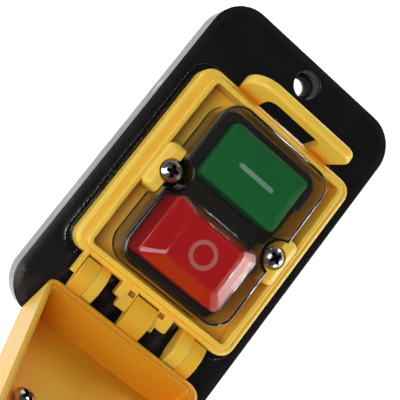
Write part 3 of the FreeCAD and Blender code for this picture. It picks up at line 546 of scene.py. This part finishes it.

# Return springs. Round spring-steel wire, one coil under each key between the deck and the key's pocket.
COIL_RADIUS = 0.0047
COIL_TURNS = 4.0
WIRE_RADIUS = 0.0004
coil, given, out = node_tree(
    "coil_spring", [("Radius", NUMBER), ("Wire", NUMBER), ("Turns", NUMBER), ("Height", NUMBER)])
lead = result(coil, "GeometryNodeCurveSpiral", {
    "Resolution": 36, "Rotations": given["Turns"], "Start Radius": given["Radius"],
    "End Radius": given["Radius"], "Height": given["Height"]})
wire = result(coil, "GeometryNodeCurvePrimitiveCircle", {"Resolution": 12, "Radius": given["Wire"]})
drawn = result(coil, "GeometryNodeCurveToMesh", {"Curve": lead, "Profile Curve": wire, "Fill Caps": True})
seated = result(coil, "GeometryNodeInstanceOnPoints", {"Points": given["Geometry"], "Instance": drawn})
finish_tree(coil, given, out, seated)
spring_wire = plated_metal("spring_wire", (0.50, 0.50, 0.52), roughness=0.22, scale=600.0, relief=0.00001)
for name, joint in (("green_spring", "green_push"), ("red_spring", "red_push")):
    low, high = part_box(name)
    middle = (low + high) / 2
    spring = grown(name + "_coil", [(middle.x, middle.y, low.z + WIRE_RADIUS)], coil,
                   {"Radius": COIL_RADIUS, "Wire": WIRE_RADIUS, "Turns": COIL_TURNS,
                    "Height": high.z - low.z - 2 * WIRE_RADIUS, "Material": spring_wire}, angle=60.0)
    fitted(spring, "switch", "spring_steel", spring_wire, name)
    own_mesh(spring)

# Keys. A low green start key with a bevelled top and a tall red stop key shaped as a cut-off pyramid.
# Both are polished polycarbonate, with the bar and the ring laid in from a paler moulding.


def key_gloss(name, colour, rubbed_and_highlight, mottle, edge_mark_amount):
    """Polished key plastic, with little glare under the boot."""
    gloss = moulded_plastic(name, colour, rubbed_and_highlight, mottle, grain=1200.0, roughness=0.12, spread=0.05,
                            relief=0.000008, edge_width=0.0005, edge_mark_amount=edge_mark_amount)
    shader(gloss).inputs["Specular IOR Level"].default_value = 0.25
    return gloss


def pale_inlay(name, colour, rubbed_and_highlight):
    """The paler plastic of a key's sign."""
    return moulded_plastic(name, colour, rubbed_and_highlight, mottle=0.15, grain=1500.0, roughness=0.32, spread=0.1,
                           relief=0.00001, edge_width=0.0003, edge_mark_amount=0.4)


green_gloss = key_gloss(
    "green_key_gloss", linear(14, 103, 52), linear(30, 132, 72), mottle=0.25, edge_mark_amount=0.5)
red_gloss = key_gloss(
    "red_key_gloss", linear(180, 16, 24), linear(204, 48, 48), mottle=0.2, edge_mark_amount=0.45)
pale_bar = pale_inlay("pale_bar", linear(114, 158, 150), linear(146, 178, 172))
pale_ring = pale_inlay("pale_ring", linear(192, 104, 112), linear(210, 138, 144))
fitted(moulded_copy("green_button"), "green_press", "green_key", green_gloss, "green_button")
fitted(moulded_copy("red_button"), "red_press", "red_key", red_gloss, "red_button")
fitted(moulded_copy("on_symbol"), "green_press", "pale_symbol", pale_bar, "on_symbol")
fitted(moulded_copy("off_symbol"), "red_press", "pale_symbol", pale_ring, "off_symbol")

# Black face. A glossy moulding that frames both keys, with a raised surround at the green end
# and a bar between the keys, snapped into the step of the switch body.
face_gloss = moulded_plastic(
    "black_face_gloss", linear(24, 23, 26), rubbed_and_highlight=linear(66, 64, 68), mottle=0.5, grain=1800.0,
    roughness=0.22, spread=0.1, relief=0.00001, edge_width=0.0004, edge_mark_amount=0.5)
fitted(moulded_copy("switch_face"), "switch", "black_face", face_gloss, "switch_face")

# Clear boot. Soft see-through silicone in one piece: a flange under the bezel, a dome over both keys
# and a tent that follows the red key. Its skin is glossy, with a trace of haze.
BOOT_SOFTENING = 0.0004
clear = bpy.data.materials.new("clear_boot")
clear.use_nodes = True
tree = clear.node_tree
silicone = shader(clear)
silicone.inputs["Transmission Weight"].default_value = 1.0
silicone.inputs["IOR"].default_value = 1.06
silicone.inputs["Coat Weight"].default_value = 1.0
silicone.inputs["Coat Roughness"].default_value = 0.04
coat = place(tree, "ShaderNodeGroup", {
    "Colour": (0.87, 0.84, 0.79, 1.0), "Mottle": 0.05, "Grain": 500.0, "Roughness": 0.05, "Spread": 0.06,
}, node_tree=skin)
tree.links.new(coat.outputs["Colour"], silicone.inputs["Base Color"])
tree.links.new(coat.outputs["Roughness"], silicone.inputs["Roughness"])
softened = result(tree, "ShaderNodeBevel", {"Radius": BOOT_SOFTENING}, samples=8)
tree.links.new(softened, silicone.inputs["Normal"])
tree.links.new(softened, silicone.inputs["Coat Normal"])
shadow_ray = place(tree, "ShaderNodeLightPath").outputs["Is Shadow Ray"]
passing = result(tree, "ShaderNodeBsdfTransparent", {"Color": (0.82, 0.79, 0.74, 1.0)})
both = result(tree, "ShaderNodeMixShader", {0: shadow_ray, 1: silicone.outputs[0], 2: passing})
tree.links.new(both, tree.nodes["Material Output"].inputs["Surface"])
fitted(moulded_copy("membrane_boot"), "switch", "clear_boot", clear, "membrane_boot")

# Bezel. One yellow moulding that clamps the boot: rim, ridge, two screw lugs, a leaning bail at the
# green end and the fixed half of the hinge. Two screws hold it down.
# Painted light: its hollows are painted a deeper orange, for the light that its thin walls let through and that
# bounces inside them.


def yellow_with_painted_hollows(name, colour, painted_hollow_colour, reach, open_share, shut_share):
    """Yellow plastic with its hollows painted a deeper orange, as painted light."""
    material = moulded_plastic(
        name, colour, rubbed_and_highlight=linear(240, 212, 122), mottle=0.16, grain=2200.0, roughness=0.36, spread=0.14,
        relief=0.000015, edge_width=0.0004, edge_mark_amount=0.45)
    tree = material.node_tree
    # Painted light: where the piece hides itself, the hollow mask lays the deeper orange.
    hollow = place(tree, "ShaderNodeAmbientOcclusion", {"Distance": reach}, samples=8, only_local=True)
    painted(material, ramp(tree, hollow.outputs["AO"], open_share, shut_share, 0.0, 1.0), painted_hollow_colour)
    return material


bezel_yellow = yellow_with_painted_hollows(
    "bezel_yellow", linear(228, 189, 66), painted_hollow_colour=linear(226, 156, 34), reach=0.012, open_share=0.80,
    shut_share=0.25)
fitted(moulded_copy("bezel_frame"), "switch", "yellow_moulding", bezel_yellow, "bezel_frame")

# Hinge pins. Short ground steel pins that the flap's arms turn on.
# They are pressed blind into the bezel's ears and blocks, so no end shows.
ground_pin = plated_metal("ground_pin", (0.55, 0.55, 0.56), roughness=0.24, scale=800.0, relief=0.00001)
fitted(moulded_copy("hinge_pins"), "switch", "pin_steel", ground_pin, "hinge_pins")

# Stop flap. A yellow lid, moulded in one piece with three arched arms that reach round the hinge pins.
# Shut, it covers both keys; here it stands wide open, with its hollow to the front, painted a deeper orange as
# painted light.
# Painted shade: the flap's yellow is a darker, more orange copy of the bezel's, and its hollow mask reaches
# further, for the shade in the open flap.
flap_yellow = yellow_with_painted_hollows(
    "flap_yellow", linear(226, 177, 48), painted_hollow_colour=linear(228, 146, 20), reach=0.03, open_share=0.92,
    shut_share=0.40)
fitted(moulded_copy("stop_flap"), "flap", "yellow_moulding", flap_yellow, "stop_flap")

# Stop pad. A round red moulding on the flap's outer face, to be struck with the palm.
# Two screws hold it, through low bosses on the flap's inner floor.
# Their places are given as on the shut flap, and then swung open with it.
pad_red = moulded_plastic(
    "stop_pad_red", linear(188, 24, 22), rubbed_and_highlight=linear(220, 70, 54), mottle=0.2, grain=1500.0,
    roughness=0.3, spread=0.1, relief=0.00001, edge_width=0.0005, edge_mark_amount=0.5)
fitted(moulded_copy("stop_pad"), "flap", "red_pad", pad_red, "stop_pad")
FLAP_OPEN = math.radians(124.7)
FLAP_RIM_RISE = 0.0098
FLAP_INNER_DEPTH = 0.0105
PAD_BOSS_HEIGHT = 0.0003
PAD_SCREW_X = 0.0148
PAD_SCREW_Y = 0.0022
PAD_SCREW_LENGTH = 0.0054
hinge = next(joint for joint in frame["joints"] if joint["name"] == "flap_hinge")
pivot = Vector(hinge["pos_m"])
opened = Matrix.Translation(pivot) @ Matrix.Rotation(FLAP_OPEN, 4, "X") @ Matrix.Translation(-pivot)
pad_seat = FACE + FLAP_RIM_RISE + FLAP_INNER_DEPTH - PAD_BOSS_HEIGHT
pad_points = [(side * PAD_SCREW_X, PAD_SCREW_Y, -pad_seat) for side in (-1, 1)]
pad_screws = grown("pad_screw_pair", pad_points, screw, {**HEAD, "Length": PAD_SCREW_LENGTH, "Turn": 0.2},
                   SCREW_CREASE)
pad_screws.data.transform(opened @ UPSIDE_DOWN)
fitted(pad_screws, "flap", "nickel_screw", nickel, "stop_pad_screws")

# Studio. A white floor just under the terminals keeps the shadow near the switch and whitens further off.
# Soft lamps stand to the left, above, to the right and behind.
# The ceiling is dim, so that black faces stay black.
FLOOR_HALF = 3.0
FLOOR_DROP = 0.0005
NEAR = 0.25
FAR = 0.60
NEAR_GLOW = 0.68
FAR_GLOW = 1.0
floor_level = cad_box[0][2] - FLOOR_DROP
corner_signs = ((-1, -1), (1, -1), (1, 1), (-1, 1))
floor_corners = [(x * FLOOR_HALF, y * FLOOR_HALF, floor_level) for x, y in corner_signs]
floor_mesh = bpy.data.meshes.new("floor")
floor_mesh.from_pydata(floor_corners, [], [(0, 1, 2, 3)])
floor = bpy.data.objects.new("floor", floor_mesh)
bpy.context.scene.collection.objects.link(floor)
paper = bpy.data.materials.new("floor_paper")
paper.use_nodes = True
tree = paper.node_tree
matt = shader(paper)
matt.inputs["Base Color"].default_value = (0.85, 0.85, 0.85, 1.0)
matt.inputs["Roughness"].default_value = 1.0
matt.inputs["Specular IOR Level"].default_value = 0.0
matt.inputs["Emission Color"].default_value = (1.0, 1.0, 1.0, 1.0)
ray = place(tree, "ShaderNodeLightPath").outputs
seen = maths(tree, "MAXIMUM", ray["Is Camera Ray"], ray["Is Glossy Ray"])
seen = maths(tree, "MAXIMUM", seen, ray["Is Transmission Ray"])
whiter = ramp(tree, measure(tree, "LENGTH", own_spot(tree)), NEAR, FAR, NEAR_GLOW, FAR_GLOW)
tree.links.new(maths(tree, "MULTIPLY", seen, whiter), matt.inputs["Emission Strength"])
floor_mesh.materials.append(paper)

HORIZON = 0.02
CEILING = 0.30
HORIZON_GLOW = 0.80
CEILING_GLOW = 0.08
world = bpy.data.worlds.new("studio")
bpy.context.scene.world = world
world.use_nodes = True
tree = world.node_tree
direction = place(tree, "ShaderNodeTexCoord").outputs["Generated"]
height = place(tree, "ShaderNodeSeparateXYZ", {0: direction}).outputs["Z"]
sky = tree.nodes["Background"].inputs
sky["Color"].default_value = (1.0, 1.0, 1.0, 1.0)
tree.links.new(ramp(tree, height, HORIZON, CEILING, HORIZON_GLOW, CEILING_GLOW), sky["Strength"])

LIT_SPOT = Vector((0.0, 0.0, 0.01))


def soft_lamp(name, stand, width, height, power):
    """A soft box turned towards the middle of the switch."""
    data = bpy.data.lights.new(name, "AREA")
    data.shape = "RECTANGLE"
    data.size = width
    data.size_y = height
    data.energy = power
    lamp = bpy.data.objects.new(name, data)
    lamp.location = stand
    lamp.rotation_euler = (LIT_SPOT - Vector(stand)).to_track_quat("-Z", "Y").to_euler()
    lamp.visible_transmission = False
    bpy.context.scene.collection.objects.link(lamp)


soft_lamp("left_box", (-0.46, -0.34, 0.40), width=0.38, height=0.38, power=2.2)
soft_lamp("right_box", (0.55, -0.30, 0.22), width=0.10, height=0.10, power=1.5)
soft_lamp("high_box", (-0.32, -0.12, 0.63), width=0.36, height=0.36, power=2.4)
soft_lamp("right_strip", (0.60, 0.10, 0.15), width=0.10, height=0.16, power=1.4)
soft_lamp("back_strip", (0.18, 0.60, 0.15), width=0.04, height=0.16, power=1.0)

# Camera. It stands above the red end, to the left, and looks down at the plate,
# turned so that the box leans to the right in the picture.
view = bpy.data.cameras.new("view")
view.sensor_width = 36.0
view.lens = 90.997
view.shift_x = -0.0022
view.shift_y = -0.0071
view.clip_start = 0.01
camera = bpy.data.objects.new("view", view)
right = Vector((0.738593, 0.605104, 0.297204))
up = Vector((-0.624633, 0.780090, -0.035955))
back = Vector((-0.253602, -0.159087, 0.954137))
stand = Vector((-0.069381, -0.039765, 0.254930))
turned = Matrix((right, up, back)).transposed().to_4x4()
camera.matrix_world = Matrix.Translation(stand) @ turned
bpy.context.scene.collection.objects.link(camera)
bpy.context.scene.camera = camera
bpy.context.scene.view_settings.view_transform = "Standard"

bpy.context.view_layer.update()
